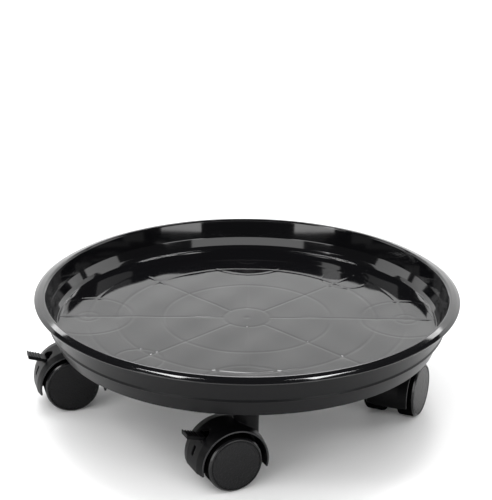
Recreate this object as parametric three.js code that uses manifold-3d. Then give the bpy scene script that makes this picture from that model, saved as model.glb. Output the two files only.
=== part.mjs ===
// Plant pot caddy: a round moulded saucer on four hooded twin-wheel swivel casters, two of them with a foot brake.
// Millimetres, +Z up. Heights in this file are measured from the ground; the finished group is then lowered
// so that its origin is the centre of the saucer floor, where the pot stands.
import * as THREE from "three";
import { mergeVertices } from "three/addons/utils/BufferGeometryUtils.js";
import Module from "manifold-3d";

// ---------------------------------------------------------------- driving dimensions

const RIM_RADIUS = 160; // outside of the saucer's rolled rim
const HEIGHT = 92; // ground to rim top
const FLOOR_TOP = 69; // ground to the face the pot stands on
const FLOOR_THICKNESS = 2.5;
const SKIRT_BOTTOM = 58; // lower edge of the ring below the saucer
const TRAY_SEGMENTS = 64;

const RIB_THICKNESS = 1.8;
const RIB_DEPTH = 3; // how far the ribs hang below the floor
const RIB_RINGS = [17.6, 63.7, 98.2, 120.3]; // radii of the concentric ribs
const RIB_TRIM_RADIUS = 142.3; // inside the thickness of the skirt, so that every rib ends in it
const RADIAL_RIBS = 8;
const SOCKET_RING_RADIUS = 34.2; // round rib about each caster socket
const EAR_RINGS = [-135, 45]; // bearings of the two small round ribs
const EAR_RING_RADIUS = 18.2;
const EAR_RING_REACH = 110.4; // how far their centres are from the middle
const OVERLAP = 0.3; // how far joined pieces run into each other

const STEM_CIRCLE = 120.6; // radius at which the caster stems stand
const STEM_RADIUS = 4;
const STEM_BOTTOM = 27;
const STEM_TOP = 65.6;
const GRIP_GROOVE = { bottom: 60.6, top: 62.2, radius: 3.2 };
const RUNNING_GAP = 0.3;
const SOCKET_RADIUS = 8.5; // outside of the boss that takes a stem
const SOCKET_BOTTOM = 57.9;
const SLEEVE_RADIUS = 5.5;
const FLANGE_RADIUS = 8;

const WHEEL_RADIUS = 20.5;
const WHEEL_OUTER_FACE = 20; // from the caster's middle plane
const WHEEL_INNER_FACE = 6.5;
const WHEEL_CLEARANCE = 0.8; // between a wheel and the inside of its hood
const TRAIL = 16.4; // stem to axle, level
const AXLE_RADIUS = 2.3;
const AXLE_HALF_LENGTH = 16;
const HUB_RADIUS = 6;

// The hood's arc has its own centre, a little in front of the axle and below it.
const HOOD_CENTRE = [14.8, 18.7]; // level distance from the stem, and height
const HOOD_INNER_RADIUS = 24.1;
const HOOD_LIP_RADIUS = 25.6; // outside of the hood at its two edges
const HOOD_CROWN_RADIUS = 27; // outside of the hood along its middle
const HOOD_HALF_WIDTH = 15.8;
const CROWN_HALF_WIDTH = 11;
const HOOD_TAIL_ANGLE = -11; // the arc runs from here, behind the wheel and below the axle,
const HOOD_NOSE_ANGLE = 195; // over the top to here, in front of the wheel
const WEB_HALF_THICKNESS = 2.5;
const AXLE_BOSS_RADIUS = 7;
const NECK_RADIUS = 9;
const NECK_TOP = 55;
const STEM_BORE_BOTTOM = 26.4;

const PIN_ANGLE = 42; // where the brake pin crosses the hood's arc
const PIN_REACH = 25.3; // from the hood's centre to that pin
const PIN_RADIUS = 0.85;
const PIN_BORE = 1.1;
const LEVER_TRAVEL = 20; // degrees from free to on
const LEVER_HALF_WIDTH = 4.9;
const BARREL_RADIUS = 1.9;
const WINDOW = { from: 37, to: 59, halfWidth: 5.3 }; // the opening the foot tab comes through
const CAM_SPACE = { from: 33, to: 51, halfWidth: 8.6, radius: 26.3 }; // wider, and hidden under the crown

// Where each stem stands, which way its wheels trail, and whether it has a brake.
const CASTERS = [
  { name: "front", bearing: -90, heading: 205, brake: true },
  { name: "left", bearing: 180, heading: 195, brake: true },
  { name: "back", bearing: 90, heading: 20, brake: false },
  { name: "right", bearing: 0, heading: 247, brake: false },
];

// ---------------------------------------------------------------- solids

const wasm = await Module();
wasm.setup();

const radians = THREE.MathUtils.degToRad;

// A closed geometry as a solid that can be joined and cut.
function solid(geometry) {
  const bare = new THREE.BufferGeometry();
  bare.setAttribute("position", geometry.getAttribute("position"));
  bare.setIndex(geometry.getIndex());
  const merged = mergeVertices(bare, 1e-4);
  return new wasm.Manifold(
    new wasm.Mesh({
      numProp: 3,
      vertProperties: merged.attributes.position.array,
      triVerts: new Uint32Array(merged.index.array),
    }),
  );
}

function geometryOf(body) {
  const { vertProperties, triVerts } = body.getMesh();
  const geometry = new THREE.BufferGeometry();
  geometry.setAttribute("position", new THREE.BufferAttribute(vertProperties, 3));
  geometry.setIndex(new THREE.BufferAttribute(triVerts, 1));
  return geometry;
}

const join = (first, ...others) => others.reduce((sum, other) => sum.add(other), first);
const cut = (first, ...others) => others.reduce((rest, other) => rest.subtract(other), first);

// A profile of [radius, height] points turned about the Z axis.
function turned(profile, segments) {
  const points = profile.map(([radius, height]) => new THREE.Vector2(radius, height));
  return solid(new THREE.LatheGeometry(points, segments).rotateX(Math.PI / 2));
}

// The same, with the profile's axis along Y: points are [radius, distance along +Y].
function turnedAcross(profile, segments, x, z) {
  const points = profile.map(([radius, along]) => new THREE.Vector2(radius, along));
  return solid(new THREE.LatheGeometry(points, segments).translate(x, 0, z));
}

// A ring or tube about Z, centred at x, y.
function ring(inner, outer, bottom, top, segments, x = 0, y = 0) {
  const profile = [[inner, bottom], [outer, bottom], [outer, top], [inner, top], [inner, bottom]];
  return turned(profile, segments).translate([x, y, 0]);
}

function disc(radius, bottom, top, segments, x = 0, y = 0) {
  const profile = [[0, bottom], [radius, bottom], [radius, top], [0, top]];
  return turned(profile, segments).translate([x, y, 0]);
}

function rodAcross(radius, from, to, segments, x, z) {
  return turnedAcross([[0, from], [radius, from], [radius, to], [0, to]], segments, x, z);
}

function block(x0, x1, y0, y1, z0, z1) {
  const box = new THREE.BoxGeometry(x1 - x0, y1 - y0, z1 - z0);
  return solid(box.translate((x0 + x1) / 2, (y0 + y1) / 2, (z0 + z1) / 2));
}

// A shape drawn in side view (x level, y up), made into a slab that runs from one y to another.
function slab(shape, from, to, curveSegments = 12) {
  const options = { depth: to - from, bevelEnabled: false, curveSegments };
  return solid(new THREE.ExtrudeGeometry(shape, options).rotateX(Math.PI / 2).translate(0, to, 0));
}

// The side view of a band that follows a circle, between two radii and two angles.
function bandShape(x, z, inner, outer, from, to) {
  const shape = new THREE.Shape();
  shape.absarc(x, z, outer, radians(from), radians(to), false);
  shape.absarc(x, z, inner, radians(to), radians(from), true);
  shape.closePath();
  return shape;
}

function mesh(name, body, material) {
  const part = new THREE.Mesh(geometryOf(body), new THREE.MeshStandardMaterial(material));
  part.name = name;
  return part;
}

// ---------------------------------------------------------------- finishes

const GLOSS_BLACK = { color: 0x050506, roughness: 0.12, metalness: 0 };
const MATT_BLACK = { color: 0x131315, roughness: 0.5, metalness: 0 };
const WHEEL_BLACK = { color: 0x1b1b1e, roughness: 0.6, metalness: 0 };
const STEEL = { color: 0xb9bcc0, roughness: 0.3, metalness: 1 };

// ---------------------------------------------------------------- the saucer

const floorUnderside = FLOOR_TOP - FLOOR_THICKNESS;
const socketCeiling = floorUnderside - 0.1;

// From the middle of the floor, up the inside of the wall, round the rim, and down the outside to the skirt.
const SAUCER_PROFILE = [
  [0, floorUnderside],
  [141.6, floorUnderside],
  [140.6, SKIRT_BOTTOM],
  [143.0, SKIRT_BOTTOM],
  [147.2, 69.4],
  [148.8, 70.2],
  [154.0, 88.2],
  [159.4, 88.6],
  [RIM_RADIUS, 89.4],
  [159.3, 91.0],
  [156.5, HEIGHT],
  [152.4, HEIGHT],
  [151.3, 91.2],
  [148.7, 77.5],
  [145.6, 71.5],
  [143.2, FLOOR_TOP],
  [0, FLOOR_TOP],
];

function stemPlace(bearing) {
  return [STEM_CIRCLE * Math.cos(radians(bearing)), STEM_CIRCLE * Math.sin(radians(bearing))];
}

function underfloorRibs() {
  const top = floorUnderside + OVERLAP;
  const bottom = floorUnderside - RIB_DEPTH;
  const half = RIB_THICKNESS / 2;
  const pieces = RIB_RINGS.map((radius) => {
    const segments = radius < 40 ? 16 : 32;
    return ring(radius - half, radius + half, bottom, top, segments);
  });
  for (let i = 0; i < RADIAL_RIBS; i += 1) {
    const rib = block(RIB_RINGS[0], RIM_RADIUS, -half, half, bottom, top);
    pieces.push(rib.rotate([0, 0, (i * 360) / RADIAL_RIBS]));
  }
  for (const { bearing } of CASTERS) {
    const [x, y] = stemPlace(bearing);
    pieces.push(ring(SOCKET_RING_RADIUS - half, SOCKET_RING_RADIUS + half, bottom, top, 16, x, y));
  }
  for (const bearing of EAR_RINGS) {
    const x = EAR_RING_REACH * Math.cos(radians(bearing));
    const y = EAR_RING_REACH * Math.sin(radians(bearing));
    pieces.push(ring(EAR_RING_RADIUS - half, EAR_RING_RADIUS + half, bottom, top, 12, x, y));
  }
  return join(...pieces).intersect(disc(RIB_TRIM_RADIUS, bottom - 1, top + 1, TRAY_SEGMENTS));
}

function tray() {
  let body = turned(SAUCER_PROFILE, TRAY_SEGMENTS).add(underfloorRibs());
  for (const { bearing } of CASTERS) {
    const [x, y] = stemPlace(bearing);
    body = body.add(disc(SOCKET_RADIUS, SOCKET_BOTTOM, floorUnderside + OVERLAP, 16, x, y));
  }
  for (const { bearing } of CASTERS) {
    const [x, y] = stemPlace(bearing);
    const bore = SLEEVE_RADIUS + RUNNING_GAP;
    body = body.subtract(disc(bore, SOCKET_BOTTOM - 1, socketCeiling, 16, x, y));
  }
  return body;
}

// ---------------------------------------------------------------- caster pieces
// Each is drawn with its stem on the Z axis and its wheels trailing along +X, standing on the ground.

// Plastic bush pressed into the saucer's socket, with a flange under it.
function sleeve() {
  const bore = STEM_RADIUS + RUNNING_GAP;
  const flangeBottom = SOCKET_BOTTOM - 1.3;
  const flangeTop = SOCKET_BOTTOM - RUNNING_GAP;
  const top = socketCeiling - RUNNING_GAP;
  return turned(
    [
      [bore, flangeBottom],
      [FLANGE_RADIUS, flangeBottom],
      [FLANGE_RADIUS, flangeTop],
      [SLEEVE_RADIUS, flangeTop],
      [SLEEVE_RADIUS, top],
      [bore, top],
      [bore, flangeBottom],
    ],
    16,
  );
}

// Steel pin, blunt at both ends, with a groove for the grip ring.
function stem() {
  const chamfer = 0.8;
  return turned(
    [
      [0, STEM_BOTTOM],
      [STEM_RADIUS - chamfer, STEM_BOTTOM],
      [STEM_RADIUS, STEM_BOTTOM + chamfer],
      [STEM_RADIUS, GRIP_GROOVE.bottom],
      [GRIP_GROOVE.radius, GRIP_GROOVE.bottom],
      [GRIP_GROOVE.radius, GRIP_GROOVE.top],
      [STEM_RADIUS, GRIP_GROOVE.top],
      [STEM_RADIUS, STEM_TOP - chamfer],
      [STEM_RADIUS - chamfer, STEM_TOP],
      [0, STEM_TOP],
    ],
    16,
  );
}

// Open steel ring that lies in the stem's groove and springs against the sleeve.
function gripRing() {
  const inner = GRIP_GROOVE.radius + 0.2;
  const outer = STEM_RADIUS + 0.15;
  const opening = 25;
  const shape = bandShape(0, 0, inner, outer, opening, 360 - opening);
  const options = { depth: 1, bevelEnabled: false, curveSegments: 6 };
  const bottom = GRIP_GROOVE.bottom + RUNNING_GAP;
  return solid(new THREE.ExtrudeGeometry(shape, options).translate(0, 0, bottom));
}

// Steel washer between the sleeve's flange and the hood's neck.
function washer() {
  const bottom = NECK_TOP + RUNNING_GAP;
  return ring(STEM_RADIUS + RUNNING_GAP, 7, bottom, bottom + 1, 16);
}

// A band of the hood: between two radii and two angles about its centre, and as wide as is asked each way.
function hoodBand(inner, outer, from, to, halfWidth, curveSegments) {
  return slab(bandShape(...HOOD_CENTRE, inner, outer, from, to), -halfWidth, halfWidth, curveSegments);
}

// The room that a hood leaves for its two wheels.
function wheelSpaces() {
  const inner = WHEEL_INNER_FACE - WHEEL_CLEARANCE;
  const outer = WHEEL_OUTER_FACE;
  const radius = WHEEL_RADIUS + WHEEL_CLEARANCE;
  return [
    rodAcross(radius, -outer, -inner, 24, TRAIL, WHEEL_RADIUS),
    rodAcross(radius, inner, outer, 24, TRAIL, WHEEL_RADIUS),
  ];
}

function hood(brake) {
  const web = WEB_HALF_THICKNESS;
  const meets = HOOD_INNER_RADIUS + OVERLAP;
  const from = HOOD_TAIL_ANGLE + 2;
  const to = HOOD_NOSE_ANGLE - 2;
  let body = join(
    hoodBand(HOOD_INNER_RADIUS, HOOD_LIP_RADIUS, HOOD_TAIL_ANGLE, HOOD_NOSE_ANGLE, HOOD_HALF_WIDTH, 8),
    hoodBand(HOOD_INNER_RADIUS, HOOD_CROWN_RADIUS, HOOD_TAIL_ANGLE, HOOD_NOSE_ANGLE, CROWN_HALF_WIDTH, 8),
    hoodBand(4, meets, from, to, web, 5),
    rodAcross(AXLE_BOSS_RADIUS, -web, web, 12, TRAIL, WHEEL_RADIUS),
    cut(disc(NECK_RADIUS, STEM_BORE_BOTTOM - 2, NECK_TOP, 16), ...wheelSpaces()),
  );
  if (brake) {
    body = withBrakeSeat(body);
  }
  body = body.subtract(disc(STEM_RADIUS + RUNNING_GAP, STEM_BORE_BOTTOM, NECK_TOP + 1, 16));
  return body.subtract(
    rodAcross(AXLE_RADIUS + RUNNING_GAP, -HOOD_HALF_WIDTH, HOOD_HALF_WIDTH, 12, TRAIL, WHEEL_RADIUS),
  );
}

function pinPlace() {
  const angle = radians(PIN_ANGLE);
  return [HOOD_CENTRE[0] + PIN_REACH * Math.cos(angle), HOOD_CENTRE[1] + PIN_REACH * Math.sin(angle)];
}

// The window for the foot tab, the room for the cams, two ears that hold the pin, and the slot below.
function withBrakeSeat(body) {
  const pin = pinPlace();
  const earRadius = 1.7;
  const earLength = 2.1;
  const floor = HOOD_INNER_RADIUS - 5;
  const slot = block(36, 44, -0.9, 0.9, 24.3, 31);
  const open = cut(
    body,
    hoodBand(floor, HOOD_CROWN_RADIUS + 3, WINDOW.from, WINDOW.to, WINDOW.halfWidth, 3),
    hoodBand(floor, CAM_SPACE.radius, CAM_SPACE.from, CAM_SPACE.to, CAM_SPACE.halfWidth, 3),
    slot,
  );
  const ears = [-CAM_SPACE.halfWidth - earLength, CAM_SPACE.halfWidth].map((from) => {
    return rodAcross(earRadius, from, from + earLength, 10, ...pin);
  });
  return join(open, ...ears).subtract(rodAcross(PIN_BORE, -CROWN_HALF_WIDTH - 1, CROWN_HALF_WIDTH + 1, 10, ...pin));
}

function axle() {
  return rodAcross(AXLE_RADIUS, -AXLE_HALF_LENGTH, AXLE_HALF_LENGTH, 12, TRAIL, WHEEL_RADIUS);
}

// Cup-shaped wheel, open towards the middle of the caster, with a blind hub on the axle.
function wheel(side) {
  const face = WHEEL_OUTER_FACE;
  const bore = AXLE_RADIUS + RUNNING_GAP;
  const hubStart = 3.5;
  const hubEnd = AXLE_HALF_LENGTH + 0.4;
  const faceInside = face - 2.6;
  const bevel = 2;
  const rimInside = WHEEL_RADIUS - 2.3;
  const profile = [
    [0, hubEnd],
    [bore, hubEnd],
    [bore, hubStart],
    [HUB_RADIUS, hubStart],
    [HUB_RADIUS, faceInside],
    [rimInside, faceInside],
    [rimInside, WHEEL_INNER_FACE],
    [WHEEL_RADIUS, WHEEL_INNER_FACE],
    [WHEEL_RADIUS, face - bevel],
    [WHEEL_RADIUS - bevel, face],
    [0, face],
  ];
  const body = turnedAcross(profile, 24, 0, 0);
  const facing = side > 0 ? body : body.rotate([0, 0, 180]);
  return facing.translate([TRAIL, 0, WHEEL_RADIUS]);
}

// The foot tab in side view: it slopes up from the barrel to its tip, with teeth along the top.
function tabShape() {
  const [x, z] = pinPlace();
  const slope = 0.3;
  const tip = 13.4; // from the pin, level
  const underside = 0.5; // how far the tab's lower face passes above the pin
  const thickness = 3.2;
  const teeth = 5;
  const pitch = 2;
  const toothHeight = 0.8;
  const below = (along) => z + underside + along * slope;
  const above = (along) => below(along) + thickness - toothHeight;
  const shape = new THREE.Shape();
  shape.moveTo(x - 0.6, z - BARREL_RADIUS + 0.2);
  shape.lineTo(x + BARREL_RADIUS, below(BARREL_RADIUS));
  shape.lineTo(x + tip, below(tip));
  shape.lineTo(x + tip, above(tip) + toothHeight);
  for (let i = 0; i < teeth; i += 1) {
    const along = tip - 0.8 - i * pitch;
    shape.lineTo(x + along, above(along) + toothHeight);
    shape.lineTo(x + along - pitch / 2, above(along - pitch / 2));
  }
  shape.lineTo(x, above(0) + toothHeight / 2);
  shape.lineTo(x - BARREL_RADIUS, z + BARREL_RADIUS / 2);
  shape.closePath();
  return shape;
}

// The side view of the two cams, which come down on the treads when the lever is pressed.
function camShape() {
  const [x, z] = pinPlace();
  const reach = 2.3;
  const radius = BARREL_RADIUS - 0.1;
  const towardsAxle = THREE.MathUtils.radToDeg(Math.atan2(WHEEL_RADIUS - z, TRAIL - x));
  const angle = towardsAxle + LEVER_TRAVEL;
  const shape = new THREE.Shape();
  shape.moveTo(x + reach * Math.cos(radians(angle)), z + reach * Math.sin(radians(angle)));
  shape.absarc(x, z, radius, radians(angle + 50), radians(angle + 90), false);
  shape.absarc(x, z, radius, radians(angle - 90), radians(angle - 50), false);
  shape.closePath();
  return shape;
}

function brakeLever() {
  const pin = pinPlace();
  const barrelHalf = WINDOW.halfWidth - RUNNING_GAP;
  const camHalf = CAM_SPACE.halfWidth - RUNNING_GAP;
  return cut(
    join(
      rodAcross(BARREL_RADIUS, -barrelHalf, barrelHalf, 12, ...pin),
      slab(camShape(), -camHalf, camHalf, 3),
      slab(tabShape(), -LEVER_HALF_WIDTH, LEVER_HALF_WIDTH),
    ),
    rodAcross(PIN_BORE, -camHalf - 1, camHalf + 1, 10, ...pin),
  );
}

function brakePin() {
  const half = CAM_SPACE.halfWidth + 2;
  return rodAcross(PIN_RADIUS, -half, half, 10, ...pinPlace());
}

// ---------------------------------------------------------------- assembly

const caddy = new THREE.Group();
caddy.add(mesh("tray", tray(), GLOSS_BLACK));

const pieces = {
  sleeve: sleeve(),
  stem: stem(),
  gripRing: gripRing(),
  washer: washer(),
  hood: hood(false),
  brakedHood: hood(true),
  axle: axle(),
  wheelLeft: wheel(-1),
  wheelRight: wheel(1),
  brakeLever: brakeLever(),
  brakePin: brakePin(),
};

for (const { name, bearing, heading, brake } of CASTERS) {
  const caster = new THREE.Group();
  const [x, y] = stemPlace(bearing);
  caster.position.set(x, y, 0);
  caster.rotation.z = radians(heading);
  caster.add(
    mesh(`${name}_sleeve`, pieces.sleeve, MATT_BLACK),
    mesh(`${name}_stem`, pieces.stem, STEEL),
    mesh(`${name}_grip_ring`, pieces.gripRing, STEEL),
    mesh(`${name}_washer`, pieces.washer, STEEL),
    mesh(`${name}_hood`, brake ? pieces.brakedHood : pieces.hood, MATT_BLACK),
    mesh(`${name}_axle`, pieces.axle, STEEL),
    mesh(`${name}_wheel_left`, pieces.wheelLeft, WHEEL_BLACK),
    mesh(`${name}_wheel_right`, pieces.wheelRight, WHEEL_BLACK),
  );
  if (brake) {
    caster.add(
      mesh(`${name}_brake_lever`, pieces.brakeLever, MATT_BLACK),
      mesh(`${name}_brake_pin`, pieces.brakePin, STEEL),
    );
  }
  caddy.add(caster);
}

caddy.position.z = -FLOOR_TOP;

export default caddy;
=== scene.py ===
import math

import bmesh
import bpy
import numpy as np
from mathutils import Matrix, Vector


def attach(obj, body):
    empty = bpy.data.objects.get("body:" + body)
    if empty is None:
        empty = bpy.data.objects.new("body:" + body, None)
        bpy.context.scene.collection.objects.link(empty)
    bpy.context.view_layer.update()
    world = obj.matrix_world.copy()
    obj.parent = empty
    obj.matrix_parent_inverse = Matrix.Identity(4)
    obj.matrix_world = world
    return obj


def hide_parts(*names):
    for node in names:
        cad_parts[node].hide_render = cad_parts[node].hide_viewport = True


# A plant pot caddy: a glossy black saucer on four hooded twin-wheel casters, two with a foot brake.
# Outlines are in millimetres with heights measured from the ground. `settle` brings a finished mesh to the
# row frame, in metres, whose origin is the centre of the saucer's floor.

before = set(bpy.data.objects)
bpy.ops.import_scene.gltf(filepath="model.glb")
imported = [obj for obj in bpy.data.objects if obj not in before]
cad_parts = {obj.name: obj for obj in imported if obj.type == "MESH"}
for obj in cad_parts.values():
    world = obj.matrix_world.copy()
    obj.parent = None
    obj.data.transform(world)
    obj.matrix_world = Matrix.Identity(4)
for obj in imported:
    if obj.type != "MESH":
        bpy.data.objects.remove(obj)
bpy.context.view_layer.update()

MM = 0.001
FLOOR_TOP = 69.0
FLOOR_UNDERSIDE = 66.5
SOCKET_BOTTOM = 57.9

STEM_CIRCLE = 120.6
STEM_RADIUS = 4.0
STEM_BOTTOM = 27
STEM_TOP = 65.6
GRIP_GROOVE = (60.6, 62.2)
GRIP_GROOVE_RADIUS = 3.2
CASTERS = [
    {"name": "front", "bearing": -90, "heading": 205, "brake": True},
    {"name": "left", "bearing": 180, "heading": 195, "brake": True},
    {"name": "back", "bearing": 90, "heading": 20, "brake": False},
    {"name": "right", "bearing": 0, "heading": 247, "brake": False},
]

FLOOR_EDGE = 142.0
SKIRT_INSIDE = 140.8
RIB_HALF = 0.9
RIB_BOTTOM = 63.5
RIB_RINGS = [17.6, 63.7, 98.2, 120.3]
RADIAL_RIBS = 8
SOCKET_RING_RADIUS = 34.2
EAR_BEARINGS = [-135, 45]
EAR_RING_RADIUS = 18.2
EAR_RING_REACH = 110.4

SINK_DEPTH = 0.1
SINK_WIDTH = 1.1
CROSSING_SINK_WIDTH = 5
SOCKET_DISH_DEPTH = 0.4
GATE_DEPTH = 0.15
WAVE_HEIGHT = 0.09

WHEEL_RADIUS = 20.5
FACE_RADIUS = 18.7
FACE_INSIDE = 18.5
TRAIL = 16.4
WHEEL_ROOM = 0.8
WHEEL_SPACE_MIDDLE = 12.9
WHEEL_SPACE_HALF = 7.2
HOOD_X = 14.8
HOOD_Z = 18.7
HOOD_INNER = 24.1
HOOD_LIP = 25.6
HOOD_CROWN = 27.0
HOOD_HALF = 15.8
HOOD_FLAT_HALF = 8.6
# The width of the band along each lip that gets the painted highlight.
LIP_HIGHLIGHT_BAND = 0.35
WEB_HALF = 2.5
WEB_INNER = 4
AXLE_BOSS_RADIUS = 7
HOOD_TAIL = -11
HOOD_NOSE = 195
NECK_RADIUS = 9.0
NECK_BOTTOM = 24.4
NECK_TOP = 55.0
STEM_BORE = 4.3
AXLE_BORE = 2.6

PIN_ANGLE = 42.0
PIN_REACH = 25.3
PIN_RADIUS = 0.85
PIN_BORE = 1.1
PIN_BOSS_RADIUS = 1.4
PIN_BOSS_HALF = 1.05
WINDOW_HALF = 5.3
WINDOW_SILL_ANGLE = 38.5
WINDOW_SILL_DROP = 1.5
WINDOW_TOP_ANGLE = 60
WINDOW_TOP_DROP = 9
CAM_HALF = 8.6
CAM_SPACE_RADIUS = 26.3
CAM_SPACE_ANGLES = (33, 51)
BARREL_RADIUS = 1.9
TAB_HALF = 4.9
PLAY = 0.3
SLOT_HALF = 1.3
SLOT_X = (33, 44)
SLOT_Z = (24.3, 31)


# ------------------------------------------------------------------ outlines and meshes


def polar(radius, degrees):
    angle = math.radians(degrees)
    return radius * math.cos(angle), radius * math.sin(angle)


def rounded(points, steps=5, closed=False):
    """An outline of (a, b, corner radius) points, with an arc at each corner that has a radius."""
    result = []
    count = len(points)
    for i, (a, b, radius) in enumerate(points):
        end = not closed and i in (0, count - 1)
        if end or radius == 0:
            result.append((a, b))
            continue
        here = Vector((a, b))
        back = Vector(points[i - 1][:2]) - here
        ahead = Vector(points[(i + 1) % count][:2]) - here
        half = back.angle(ahead) / 2
        reach = min(radius / math.tan(half), 0.49 * back.length, 0.49 * ahead.length)
        start = here + back.normalized() * reach
        stop = here + ahead.normalized() * reach
        for k in range(steps + 1):
            t = k / steps
            point = start * (1 - t) ** 2 + here * 2 * t * (1 - t) + stop * t ** 2
            result.append((point.x, point.y))
    return result


def grid_faces(rows, columns, close_rows=False):
    """Quads over a grid whose columns wrap round."""
    faces = []
    for i in range(rows if close_rows else rows - 1):
        here, after = i * columns, ((i + 1) % rows) * columns
        for j in range(columns):
            k = (j + 1) % columns
            faces.append((here + j, here + k, after + k, after + j))
    return faces


def turned(outline, segments):
    """(radius, height) points turned about Z. They start and end on the axis, or they make a ring."""
    closed = outline[0][0] > 0
    inner = outline if closed else outline[1:-1]
    angles = np.linspace(0, 2 * math.pi, segments, endpoint=False)
    radii = np.array([p[0] for p in inner])[:, None]
    heights = np.array([p[1] for p in inner])[:, None] + 0 * angles
    grid = np.stack([radii * np.cos(angles), radii * np.sin(angles), heights], axis=-1)
    verts = [tuple(v) for v in grid.reshape(-1, 3)]
    faces = grid_faces(len(inner), segments, closed)
    if not closed:
        last = (len(inner) - 1) * segments
        first_pole, last_pole = len(verts), len(verts) + 1
        verts += [(0, 0, outline[0][1]), (0, 0, outline[-1][1])]
        for j in range(segments):
            k = (j + 1) % segments
            faces.append((first_pole, k, j))
            faces.append((last_pole, last + j, last + k))
    return verts, faces


def shifted(geometry, x=0, y=0, z=0):
    verts, faces = geometry
    return [(a + x, b + y, c + z) for a, b, c in verts], faces


def across(geometry, x=TRAIL, z=WHEEL_RADIUS):
    """Lays a geometry turned about Z along Y, at x and z."""
    verts, faces = geometry
    return [(a + x, c, z - b) for a, b, c in verts], faces


def loft(sections, close=False):
    """Closed sections of equally many points joined in order, with flat ends unless it closes."""
    columns = len(sections[0])
    verts = [tuple(point) for section in sections for point in section]
    faces = grid_faces(len(sections), columns, close)
    if not close:
        faces.append(tuple(reversed(range(columns))))
        faces.append(tuple(range(len(verts) - columns, len(verts))))
    return verts, faces


def swept(section, start, stop, steps=96):
    """A section of (y, radius) points carried round the hood's centre from one angle to the other."""
    sections = []
    for i in range(steps + 1):
        degrees = start + (stop - start) * i / steps
        loop = []
        for y, radius in section:
            x, z = polar(radius, degrees)
            loop.append((HOOD_X + x, y, HOOD_Z + z))
        sections.append(loop)
    return loft(sections)


def slab(outline, half):
    """A side view of (x, z) points made into a slab about the middle plane."""
    return loft([[(x, y, z) for x, z in outline] for y in (-half, half)])


def box(x0, x1, y0, y1, z0, z1):
    lower = [(x0, y0, z0), (x1, y0, z0), (x1, y1, z0), (x0, y1, z0)]
    return loft([lower, [(x, y, z1) for x, y, z in lower]])


def gathered(pieces):
    """Several geometries as one."""
    verts, faces = [], []
    for more_verts, more_faces in pieces:
        base = len(verts)
        verts += more_verts
        faces += [tuple(base + i for i in face) for face in more_faces]
    return verts, faces


def mesh_of(name, geometry, crease=None):
    mesh = bpy.data.meshes.new(name)
    verts, faces = geometry
    mesh.from_pydata(verts, [], faces)
    outward(mesh)
    mesh.shade_smooth()
    if crease:
        mesh.set_sharp_from_angle(angle=math.radians(crease))
    return mesh


def outward(mesh):
    shape = bmesh.new()
    shape.from_mesh(mesh)
    bmesh.ops.recalc_face_normals(shape, faces=shape.faces)
    shape.to_mesh(mesh)
    shape.free()


def temporary(geometry):
    body = bpy.data.objects.new("tool", mesh_of("tool", geometry))
    bpy.context.scene.collection.objects.link(body)
    return body


def joins(pieces):
    return [(piece, "UNION") for piece in pieces]


def cuts(pieces):
    return [(piece, "DIFFERENCE") for piece in pieces]


def carved(name, steps, voxel, passes):
    """Geometries joined and cut in order, then given softened edges, as a mesh."""
    body = temporary(steps[0][0])
    tools = [temporary(geometry) for geometry, _ in steps[1:]]
    for tool, (_, operation) in zip(tools, steps[1:]):
        step = body.modifiers.new("step", "BOOLEAN")
        step.object = tool
        step.operation = operation
        step.solver = "MANIFOLD"
    skin = body.modifiers.new("skin", "REMESH")
    skin.mode = "VOXEL"
    skin.voxel_size = voxel
    soften = body.modifiers.new("soften", "SMOOTH")
    soften.factor = 0.5
    soften.iterations = passes
    bpy.context.view_layer.update()
    finished = body.evaluated_get(bpy.context.evaluated_depsgraph_get())
    mesh = bpy.data.meshes.new_from_object(finished)
    mesh.name = name
    mesh.materials.clear()  # a remesh leaves an empty slot, which would come before the materials
    for used in [body] + tools:
        bpy.data.objects.remove(used)
    mesh.shade_smooth()
    return mesh


def settle(bearing=0, heading=0, reach=0):
    """From millimetres about a stem to the row frame."""
    x, y = polar(reach, bearing)
    place = Matrix.Translation((x, y, -FLOOR_TOP)) @ Matrix.Rotation(math.radians(heading), 4, "Z")
    return Matrix.Scale(MM, 4) @ place


def show(mesh, node, body, materials, place):
    """Puts a mesh in its place, in front of the CAD node that it stands for."""
    mesh = mesh.copy()
    mesh.transform(place)
    for material in materials:
        mesh.materials.append(material)
    piece = bpy.data.objects.new(node + "_look", mesh)
    bpy.context.scene.collection.objects.link(piece)
    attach(piece, body)
    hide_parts(node)
    return piece


# ------------------------------------------------------------------ materials


def principled(name, colour, roughness, metallic=0.0, specular=0.5):
    material = bpy.data.materials.new(name)
    material.use_nodes = True
    shader = material.node_tree.nodes["Principled BSDF"]
    shader.inputs["Base Color"].default_value = (*colour, 1)
    shader.inputs["Roughness"].default_value = roughness
    shader.inputs["Metallic"].default_value = metallic
    shader.inputs["Specular IOR Level"].default_value = specular
    return material, shader


def grain(material, shader, scale, strength, distance, detail=3.0, stretch=(1, 1, 1)):
    """A fine moulded or brushed texture, as a bump."""
    nodes, links = material.node_tree.nodes, material.node_tree.links
    place = nodes.new("ShaderNodeTexCoord")
    mapping = nodes.new("ShaderNodeMapping")
    mapping.inputs["Scale"].default_value = stretch
    noise = nodes.new("ShaderNodeTexNoise")
    noise.inputs["Scale"].default_value = scale
    noise.inputs["Detail"].default_value = detail
    bump = nodes.new("ShaderNodeBump")
    bump.inputs["Strength"].default_value = strength
    bump.inputs["Distance"].default_value = distance
    links.new(place.outputs["Object"], mapping.inputs["Vector"])
    links.new(mapping.outputs["Vector"], noise.inputs["Vector"])
    links.new(noise.outputs["Fac"], bump.inputs["Height"])
    links.new(bump.outputs["Normal"], shader.inputs["Normal"])
    return noise


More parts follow.
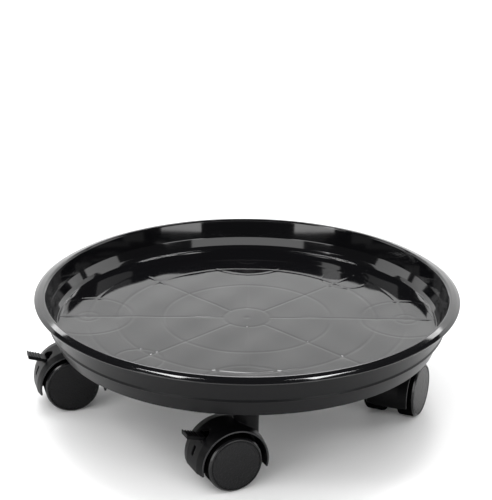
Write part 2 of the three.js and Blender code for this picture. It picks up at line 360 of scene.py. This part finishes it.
def worn_roughness(material, shader, low, high, scale):
    """Roughness that drifts softly between two values over the surface."""
    nodes, links = material.node_tree.nodes, material.node_tree.links
    place = nodes.new("ShaderNodeTexCoord")
    noise = nodes.new("ShaderNodeTexNoise")
    noise.inputs["Scale"].default_value = scale
    noise.inputs["Detail"].default_value = 4
    spread = nodes.new("ShaderNodeMapRange")
    spread.inputs["To Min"].default_value = low
    spread.inputs["To Max"].default_value = high
    links.new(place.outputs["Object"], noise.inputs["Vector"])
    links.new(noise.outputs["Fac"], spread.inputs["Value"])
    links.new(spread.outputs["Result"], shader.inputs["Roughness"])


def gloss_plastic():
    material, shader = principled("saucer_gloss", (0.003, 0.003, 0.0035), 0.08)
    worn_roughness(material, shader, 0.04, 0.09, 30)
    return material


def satin_plastic():
    material, shader = principled("saucer_satin", (0.003, 0.003, 0.0035), 0.28, specular=0.15)
    grain(material, shader, 2600, 0.12, 0.0001)
    return material


def hood_plastic():
    material, shader = principled("hood_plastic", (0.0015, 0.0015, 0.0018), 0.38, specular=0.08)
    grain(material, shader, 1800, 0.3, 0.0001)
    return material


def lip_highlight_plastic():
    """The hood's lip band: a lighter, glossier copy of the hood plastic, a painted highlight along the
    edge.
    """
    material, shader = principled("hood_lip_painted_highlight", (0.005, 0.005, 0.006), 0.3, specular=0.42)
    grain(material, shader, 2000, 0.15, 0.0001)
    return material


def wheel_plastic():
    """The pebbled face of a wheel."""
    material, shader = principled("wheel_plastic", (0.003, 0.003, 0.0035), 0.3, specular=0.2)
    grain(material, shader, 750, 0.9, 0.0006, detail=1.0)
    return material


def wheel_edge_plastic():
    """The smooth bevel round the face."""
    material, shader = principled("wheel_edge", (0.003, 0.003, 0.0035), 0.2, specular=0.32)
    grain(material, shader, 2200, 0.08, 0.0001)
    return material


# Painted shade: the tread and the wheel's inner side are a rough matte black, with the colour darkened
# further to stand in for the shadow under the hood.
def tread_painted_shade():
    material, shader = principled("wheel_tread_painted_shade", (0.0008, 0.0008, 0.0008), 0.85, specular=0.01)
    grain(material, shader, 1600, 0.3, 0.0002)
    return material


def bush_plastic():
    material, shader = principled("bush_plastic", (0.03, 0.03, 0.032), 0.4)
    grain(material, shader, 2400, 0.1, 0.0001)
    return material


def steel():
    material, shader = principled("steel", (0.62, 0.63, 0.65), 0.28, metallic=1.0)
    grain(material, shader, 900, 0.15, 0.0001, stretch=(1, 1, 8))
    return material


# ------------------------------------------------------------------ the saucer


def groove(distance, width):
    return np.exp(-((distance / width) ** 2))


def floor_relief(x, y):
    """Height of the moulded floor over its flat: sink marks above the ribs, and a slight waviness."""
    reach = np.hypot(x, y)
    sink = sum(groove(reach - ring, SINK_WIDTH) for ring in RIB_RINGS)
    for i in range(RADIAL_RIBS):
        angle = 2 * math.pi * i / RADIAL_RIBS
        along = x * math.cos(angle) + y * math.sin(angle)
        aside = x * math.sin(angle) - y * math.cos(angle)
        sink = sink + groove(aside, SINK_WIDTH) * (along > RIB_RINGS[0])
        for ring in RIB_RINGS[2:]:
            crossing = np.hypot(along - ring, aside)
            sink = sink + 0.9 * groove(crossing, CROSSING_SINK_WIDTH)
    dish = 0
    for caster in CASTERS:
        stem_x, stem_y = polar(STEM_CIRCLE, caster["bearing"])
        distance = np.hypot(x - stem_x, y - stem_y)
        sink = sink + groove(distance - SOCKET_RING_RADIUS, 1.2)
        sink = sink + 0.7 * groove(distance - 8.3, 1.3)
        dish = dish + np.clip(1 - (distance / SOCKET_RING_RADIUS) ** 2, 0, None)
    for bearing in EAR_BEARINGS:
        ear_x, ear_y = polar(EAR_RING_REACH, bearing)
        sink = sink + groove(np.hypot(x - ear_x, y - ear_y) - EAR_RING_RADIUS, 1.0)
    gate = groove(reach, 1.8)
    waves = np.sin(x / 8.1 + 0.6) * np.sin(y / 9.7 + 1.1) + 0.7 * np.sin(x / 6.3 - y / 11.0 + 2.0)
    sunk = SINK_DEPTH * np.clip(sink, 0, 3) + GATE_DEPTH * gate + SOCKET_DISH_DEPTH * dish
    return WAVE_HEIGHT * waves - sunk


# The saucer from the floor's edge up the wall, over the rim, down the stepped outside and round the skirt.
WALL_OUTLINE = [
    (FLOOR_EDGE, FLOOR_TOP, 0),
    (143.4, FLOOR_TOP, 0.8),
    (145.6, 71.5, 0.7),
    (148.7, 77.5, 2.0),
    (151.2, 90.8, 1.0),
    (152.2, 92.0, 1.0),
    (153.6, 91.9, 0.8),
    (157.2, 90.9, 3.0),
    (160.0, 89.6, 0.9),
    (159.7, 88.7, 0.5),
    (154.0, 88.2, 0.8),
    (149.1, 72.4, 0.3),
    (149.6, 70.6, 0.4),
    (147.3, 69.6, 0.4),
    (143.0, 58.0, 0.6),
    (140.6, 58.0, 0.6),
    (141.6, FLOOR_UNDERSIDE, 1.2),
    (140.0, FLOOR_UNDERSIDE, 0),
]


def saucer_shell():
    segments = 1024
    step = 0.9
    rings = int((FLOOR_EDGE - 0.5) / step)
    floor = [(step * (i + 1), FLOOR_TOP) for i in range(rings)]
    wall = rounded(WALL_OUTLINE, 6)
    outline = [(0, FLOOR_TOP)] + floor + wall + [(0, FLOOR_UNDERSIDE)]
    verts, faces = turned(outline, segments)
    points = np.array(verts)
    top = slice(0, len(floor) * segments)
    x, y = points[top, 0], points[top, 1]
    fade = np.clip((FLOOR_EDGE - np.hypot(x, y)) / 4, 0, 1)
    points[top, 2] += floor_relief(x, y) * fade
    return points.tolist(), faces


def bar(path, closed):
    """An underfloor rib along a path of (x, y) points, a little narrower at its bottom."""
    count = len(path)
    top = FLOOR_UNDERSIDE + 0.5
    sections = []
    for i, (x, y) in enumerate(path):
        before = path[i - 1] if closed or i else path[0]
        after = path[(i + 1) % count] if closed or i + 1 < count else path[-1]
        along = Vector((after[0] - before[0], after[1] - before[1])).normalized()
        side = Vector((-along.y, along.x))
        low = RIB_HALF - 0.15
        loop = []
        for offset, height in [(RIB_HALF, top), (low, RIB_BOTTOM), (-low, RIB_BOTTOM), (-RIB_HALF, top)]:
            loop.append((x + side.x * offset, y + side.y * offset, height))
        sections.append(loop)
    return loft(sections, closed)


def circle(radius, x=0, y=0, count=180):
    points = [polar(radius, 360 * i / count) for i in range(count)]
    return [(x + a, y + b) for a, b in points]


def inside_skirt(path):
    """The stretch of a closed path that lies inside the skirt, in order."""
    inside = [math.hypot(x, y) < SKIRT_INSIDE for x, y in path]
    if all(inside):
        return path, True
    start = next(i for i in range(len(path)) if inside[i] and not inside[i - 1])
    reordered = path[start:] + path[:start]
    return [p for p in reordered if math.hypot(*p) < SKIRT_INSIDE], False


def underfloor():
    pieces = [bar(circle(radius), True) for radius in RIB_RINGS]
    for i in range(RADIAL_RIBS):
        bearing = 360 * i / RADIAL_RIBS
        pieces.append(bar([polar(RIB_RINGS[0], bearing), polar(SKIRT_INSIDE, bearing)], False))
    rounds = [(SOCKET_RING_RADIUS, STEM_CIRCLE, c["bearing"]) for c in CASTERS]
    rounds += [(EAR_RING_RADIUS, EAR_RING_REACH, bearing) for bearing in EAR_BEARINGS]
    for radius, reach, bearing in rounds:
        pieces.append(bar(*inside_skirt(circle(radius, *polar(reach, bearing)))))
    return pieces


def socket():
    """The boss that takes a sleeve, open below."""
    points = [
        (5.8, FLOOR_UNDERSIDE - 0.1, 0),
        (5.8, SOCKET_BOTTOM, 0.3),
        (8.5, SOCKET_BOTTOM, 0.5),
        (8.7, FLOOR_UNDERSIDE + 0.4, 0),
        (5.8, FLOOR_UNDERSIDE + 0.4, 0),
    ]
    return turned(rounded(points, closed=True), 64)


def saucer():
    """The whole moulding: glossy inside and over the rim, satin outside and underneath."""
    pieces = [saucer_shell()] + underfloor()
    for caster in CASTERS:
        x, y = polar(STEM_CIRCLE, caster["bearing"])
        pieces.append(shifted(socket(), x, y))
    mesh = mesh_of("saucer", gathered(pieces), 40)
    for face in mesh.polygons:
        x, y, z = face.center
        outward_slope = (x * face.normal.x + y * face.normal.y) / math.hypot(x, y)
        outside = outward_slope > 0.5 and z < 88.5
        face.material_index = int(outside or z < 68)
    return mesh


# ------------------------------------------------------------------ stems, bushes, axles and wheels


def sleeve():
    points = [
        (4.3, 56.6, 0.2),
        (8.0, 56.6, 0.3),
        (8.0, 57.6, 0.2),
        (5.5, 57.6, 0.1),
        (5.5, 66.1, 0.3),
        (4.3, 66.1, 0.3),
    ]
    return mesh_of("sleeve", turned(rounded(points, closed=True), 64), 40)


def stem():
    points = [
        (0, STEM_BOTTOM, 0),
        (STEM_RADIUS, STEM_BOTTOM, 0.8),
        (STEM_RADIUS, GRIP_GROOVE[0], 0.15),
        (GRIP_GROOVE_RADIUS, GRIP_GROOVE[0], 0.15),
        (GRIP_GROOVE_RADIUS, GRIP_GROOVE[1], 0.15),
        (STEM_RADIUS, GRIP_GROOVE[1], 0.15),
        (STEM_RADIUS, STEM_TOP, 1.0),
        (0, STEM_TOP, 0),
    ]
    return mesh_of("stem", turned(rounded(points), 64), 40)


def grip_ring():
    opening = 25
    corners = [(3.4, 60.9, 0.2), (4.15, 60.9, 0.2), (4.15, 61.9, 0.2), (3.4, 61.9, 0.2)]
    section = rounded(corners, closed=True)
    sections = []
    for i in range(49):
        x, y = polar(1, opening + (360 - 2 * opening) * i / 48)
        sections.append([(x * r, y * r, z) for r, z in section])
    return mesh_of("grip_ring", loft(sections), 40)


def washer():
    points = [(4.3, 55.3, 0.2), (7.0, 55.3, 0.3), (7.0, 56.3, 0.3), (4.3, 56.3, 0.2)]
    return mesh_of("washer", turned(rounded(points, closed=True), 64), 40)


def rod(radius, half, edge, segments=48):
    points = [(0, -half, 0), (radius, -half, edge), (radius, half, edge), (0, half, 0)]
    return turned(rounded(points), segments)


def axle():
    return mesh_of("axle", across(rod(2.3, 16, 0.5)), 40)


WHEEL_OUTLINE = [
    (0, 16.4, 0),
    (2.6, 16.4, 0.2),
    (2.6, 3.5, 0.3),
    (6.0, 3.5, 0.5),
    (6.0, 17.2, 1.0),
    (18.2, 17.2, 1.0),
    (18.2, 6.5, 0.4),
    (20.5, 6.5, 0.7),
    (20.5, 18.4, 0.5),
    (19.4, 19.9, 0.7),
    (18.6, 19.9, 0.2),
    (18.45, 19.3, 0.2),
    (17.9, 19.3, 0.2),
    (17.75, 19.8, 0.4),
    (0, 19.6, 0),
]


def wheel(side):
    """A wheel with its face, the bevel round it and its tread as the first, second and third material; the
    third is a rough matte black made darker still as painted shade under the hood.
    """
    verts, faces = across(turned(rounded(WHEEL_OUTLINE), 192))
    if side < 0:
        verts = [(x, -y, z) for x, y, z in verts]
    mesh = mesh_of("wheel", (verts, faces), 50)
    for face in mesh.polygons:
        x, y, z = face.center
        reach = math.hypot(x - TRAIL, z - WHEEL_RADIUS)
        # Everything inside the face plane gets the third material, which is darkened as painted shade.
        if abs(y) < FACE_INSIDE:
            face.material_index = 2
        else:
            face.material_index = int(reach > FACE_RADIUS)
    return mesh


# ------------------------------------------------------------------ the hood and its brake


def shell_section():
    """The hood's wall: flat along the middle, falling away from a shoulder on each side to the lip."""
    points = [
        (-HOOD_HALF, HOOD_INNER, 0.2),
        (-HOOD_HALF, HOOD_LIP, 0.6),
        (-HOOD_FLAT_HALF, HOOD_CROWN, 2.5),
        (HOOD_FLAT_HALF, HOOD_CROWN, 2.5),
        (HOOD_HALF, HOOD_LIP, 0.6),
        (HOOD_HALF, HOOD_INNER, 0.2),
    ]
    return rounded(points, closed=True)


def band_section(half, inner, outer):
    return [(-half, inner), (-half, outer), (half, outer), (half, inner)]


def wheel_space(side):
    """The room that a hood leaves for one of its wheels."""
    space = across(rod(WHEEL_RADIUS + WHEEL_ROOM, WHEEL_SPACE_HALF, 0, 96))
    return shifted(space, y=side * WHEEL_SPACE_MIDDLE)


def hood_core():
    """The steps that make everything but what the brake changes."""
    wall = swept(shell_section(), HOOD_TAIL, HOOD_NOSE)
    web = swept(band_section(WEB_HALF, WEB_INNER, HOOD_INNER + 0.6), HOOD_TAIL + 2, HOOD_NOSE - 2)
    boss = across(rod(AXLE_BOSS_RADIUS, WEB_HALF, 0.3))
    points = [
        (0, NECK_BOTTOM, 0),
        (NECK_RADIUS, NECK_BOTTOM, 0),
        (NECK_RADIUS, NECK_TOP, 0.6),
        (0, NECK_TOP, 0),
    ]
    neck = turned(rounded(points), 64)
    return joins([neck]) + cuts([wheel_space(-1), wheel_space(1)]) + joins([wall, web, boss])


def hood_bores():
    bottom = NECK_BOTTOM + 2
    top = NECK_TOP + 1
    stem_bore = turned([(0, bottom), (STEM_BORE, bottom), (STEM_BORE, top), (0, top)], 48)
    return [stem_bore, across(rod(AXLE_BORE, HOOD_HALF + 1.2, 0))]


def window():
    """The opening that the foot tab comes through, widest at its sill and arched towards the neck."""
    sections = []
    for i in range(17):
        y = WINDOW_HALF * (i / 8 - 1)
        outwards = abs(y) / WINDOW_HALF
        sill = WINDOW_SILL_ANGLE - WINDOW_SILL_DROP * outwards ** 2
        top = WINDOW_TOP_ANGLE - WINDOW_TOP_DROP * outwards ** 1.6
        loop = []
        for radius, degrees in [(19, sill - 4), (30, sill + 3), (30, top + 1), (19, top)]:
            x, z = polar(radius, degrees)
            loop.append((HOOD_X + x, y, HOOD_Z + z))
        sections.append(loop)
    return loft(sections)


def pin_place():
    x, z = polar(PIN_REACH, PIN_ANGLE)
    return HOOD_X + x, HOOD_Z + z


def with_lip_highlight(mesh):
    """Gives the faces along the hood's two lips the second material, the painted highlight."""
    for face in mesh.polygons:
        face.material_index = int(abs(face.center.y) > HOOD_HALF - LIP_HIGHLIGHT_BAND)
    return mesh


def plain_hood():
    return with_lip_highlight(carved("hood", hood_core() + cuts(hood_bores()), 0.4, 3))


def braked_hood():
    x, z = pin_place()
    boss = across(rod(PIN_BOSS_RADIUS, PIN_BOSS_HALF, 0.2), x, z)
    middle = CAM_HALF + PIN_BOSS_HALF
    bosses = [shifted(boss, y=-middle), shifted(boss, y=middle)]
    cam_space = swept(band_section(CAM_HALF, 19, CAM_SPACE_RADIUS), *CAM_SPACE_ANGLES, 12)
    slot = box(*SLOT_X, -SLOT_HALF, SLOT_HALF, *SLOT_Z)
    pin_bore = across(rod(PIN_BORE, 11, 0), x, z)
    steps = cuts([window(), cam_space, slot]) + joins(bosses) + cuts([pin_bore] + hood_bores())
    return with_lip_highlight(carved("braked_hood", hood_core() + steps, 0.4, 3))


def tab_outline():
    """The foot tab in side view: it slopes up from the barrel to its tip, with teeth along the top."""
    x, z = pin_place()
    slope, tip, under, thickness, tooth = 0.3, 13.4, 0.5, 3.2, 0.8
    points = [(x - 0.6, z - 1.7), (x + 1.9, z + under + 1.9 * slope), (x + tip, z + under + tip * slope)]
    top = z + under + thickness - tooth
    points.append((x + tip, top + tip * slope + tooth))
    for i in range(5):
        along = tip - 0.8 - i * 2
        points.append((x + along, top + along * slope + tooth))
        points.append((x + along - 1, top + (along - 1) * slope))
    return points + [(x, top + 0.3), (x - 1.9, z + 0.95)]


def cam_outline():
    """The side view of the two cams, which come down on the treads."""
    x, z = pin_place()
    angle = math.degrees(math.atan2(WHEEL_RADIUS - z, TRAIL - x)) + 20
    outline = [(2.3, angle), (1.8, angle + 50), (1.8, angle + 90), (1.8, angle - 90), (1.8, angle - 50)]
    return [(x + polar(radius, degrees)[0], z + polar(radius, degrees)[1]) for radius, degrees in outline]


def brake_lever():
    x, z = pin_place()
    barrel = across(rod(BARREL_RADIUS, WINDOW_HALF - PLAY, 0.2), x, z)
    cams = slab(cam_outline(), CAM_HALF - PLAY)
    bore = across(rod(PIN_BORE, CAM_HALF + 1, 0), x, z)
    steps = joins([barrel, cams, slab(tab_outline(), TAB_HALF)]) + cuts([bore])
    return carved("brake_lever", steps, 0.2, 1)


def brake_pin():
    return mesh_of("brake_pin", across(rod(PIN_RADIUS, CAM_HALF + 2, 0.2), *pin_place()), 40)


# ------------------------------------------------------------------ assembly


def build_saucer(gloss, satin):
    show(saucer(), "tray", "saucer", [gloss, satin], settle())


def build_casters():
    bush = bush_plastic()
    metal = steel()
    hood_black = hood_plastic()
    # The second hood material is the painted highlight along the lips.
    hood_pair = [hood_black, lip_highlight_plastic()]
    # The third wheel material is darker, as painted shade under the hood.
    wheel_black = [wheel_plastic(), wheel_edge_plastic(), tread_painted_shade()]
    carried = [("sleeve", sleeve(), "bush_plastic", bush), ("stem", stem(), "steel", metal)]
    carried += [("grip_ring", grip_ring(), "steel", metal), ("washer", washer(), "steel", metal)]
    hoods = {False: plain_hood(), True: braked_hood()}
    axle_mesh, lever_mesh, pin_mesh = axle(), brake_lever(), brake_pin()
    wheels = {"wheel_left": wheel(-1), "wheel_right": wheel(1)}
    for caster in CASTERS:
        name = caster["name"]
        place = settle(caster["bearing"], caster["heading"], STEM_CIRCLE)
        for part, mesh, slot, material in carried:
            show(mesh, f"{name}_{part}", "saucer", [material], place)
        swivel = name + "_caster"
        show(hoods[caster["brake"]], name + "_hood", swivel, hood_pair, place)
        show(axle_mesh, name + "_axle", swivel, [metal], place)
        for part, mesh in wheels.items():
            show(mesh, f"{name}_{part}", f"{name}_{part}", wheel_black, place)
        if caster["brake"]:
            show(lever_mesh, name + "_brake_lever", name + "_brake", [hood_black], place)
            show(pin_mesh, name + "_brake_pin", swivel, [metal], place)


# ------------------------------------------------------------------ studio


def plane(name, width, height, place, material):
    x, y = width / 2, height / 2
    mesh = bpy.data.meshes.new(name)
    mesh.from_pydata([(-x, -y, 0), (x, -y, 0), (x, y, 0), (-x, y, 0)], [], [(0, 1, 2, 3)])
    mesh.materials.append(material)
    sheet = bpy.data.objects.new(name, mesh)
    sheet.matrix_world = place
    bpy.context.scene.collection.objects.link(sheet)


def pale_floor():
    return principled("studio_floor", (0.86, 0.86, 0.86), 0.55, specular=0.3)[0]


def glowing(strength):
    material, shader = principled("backdrop_glow", (0.8, 0.8, 0.8), 0.5)
    shader.inputs["Emission Color"].default_value = (1, 1, 1, 1)
    shader.inputs["Emission Strength"].default_value = strength
    return material


def softbox(name, place, aim, width, height, power, mirrored=True):
    """A soft lamp. One that isn't mirrored lights the scene but doesn't show in glossy surfaces."""
    light = bpy.data.lights.new(name, "AREA")
    light.shape = "RECTANGLE"
    light.size = width
    light.size_y = height
    light.energy = power
    lamp = bpy.data.objects.new(name, light)
    lamp.location = place
    lamp.rotation_euler = (Vector(aim) - Vector(place)).to_track_quat("-Z", "Y").to_euler()
    lamp.visible_glossy = mirrored
    bpy.context.scene.collection.objects.link(lamp)


def dim_world(level):
    world = bpy.data.worlds.new("studio")
    world.use_nodes = True
    background = world.node_tree.nodes["Background"]
    background.inputs["Color"].default_value = (level, level, level, 1)
    bpy.context.scene.world = world


def cyclorama(distance, height, half_angle, material):
    """A pale curved wall behind the object, standing on the floor."""
    steps = 24
    ground = -FLOOR_TOP * MM
    verts, faces = [], []
    for i in range(steps + 1):
        x, y = polar(distance, 90 - half_angle + 2 * half_angle * i / steps)
        verts += [(x, y, ground), (x, y, ground + height)]
    for i in range(steps):
        faces.append((2 * i, 2 * i + 1, 2 * i + 3, 2 * i + 2))
    mesh = bpy.data.meshes.new("backdrop")
    mesh.from_pydata(verts, [], faces)
    mesh.materials.append(material)
    wall = bpy.data.objects.new("backdrop", mesh)
    bpy.context.scene.collection.objects.link(wall)


def studio():
    ground = -FLOOR_TOP * MM
    plane("floor", 14, 14, Matrix.Translation((0, 0, ground)), pale_floor())
    cyclorama(3.4, 2.2, 62, glowing(0.8))
    dim_world(0.05)
    for side in (-1, 1):
        softbox("overhead", (side * 0.5, 0.62, 1.8), (0, 0, 0), 0.34, 0.42, 9)
        softbox("front", (side * 1.18, -1.36, 0.5), (0, 0, 0.05), 0.85, 1.0, 12)
        softbox("wing", (side * 2.4, 0.5, 1.2), (0, 0, 0), 1.2, 1.6, 14)
    softbox("key", (-1.1, -0.55, 1.27), (0, 0, 0), 0.3, 0.6, 6)
    softbox("back_strip", (0, 3.0, 2.1), (0, 0, 0), 4.0, 0.35, 26)
    softbox("ceiling", (0, 0, 2.6), (0, 0, 0), 3.5, 3.5, 75, mirrored=False)
    softbox("front_bank", (0, -2.3, 1.7), (0, 0, 0), 3.4, 0.8, 22)
    bpy.context.scene.view_settings.view_transform = "Standard"


def camera():
    """Where the photograph was taken from: from the front, looking down, with a slight roll."""
    data = bpy.data.cameras.new("camera")
    data.lens = 128.87
    data.sensor_width = 36
    data.sensor_fit = "AUTO"
    viewer = bpy.data.objects.new("camera", data)
    place = Matrix.Translation((0, -1.246, 0.5425))
    turn = Matrix.Rotation(math.radians(0.056), 4, "Z")
    pitch = Matrix.Rotation(math.radians(90 - 21.37), 4, "X")
    roll = Matrix.Rotation(0.009, 4, "Z")
    viewer.matrix_world = place @ turn @ pitch @ roll
    bpy.context.scene.collection.objects.link(viewer)
    bpy.context.scene.camera = viewer


build_saucer(gloss_plastic(), satin_plastic())
build_casters()
studio()
camera()
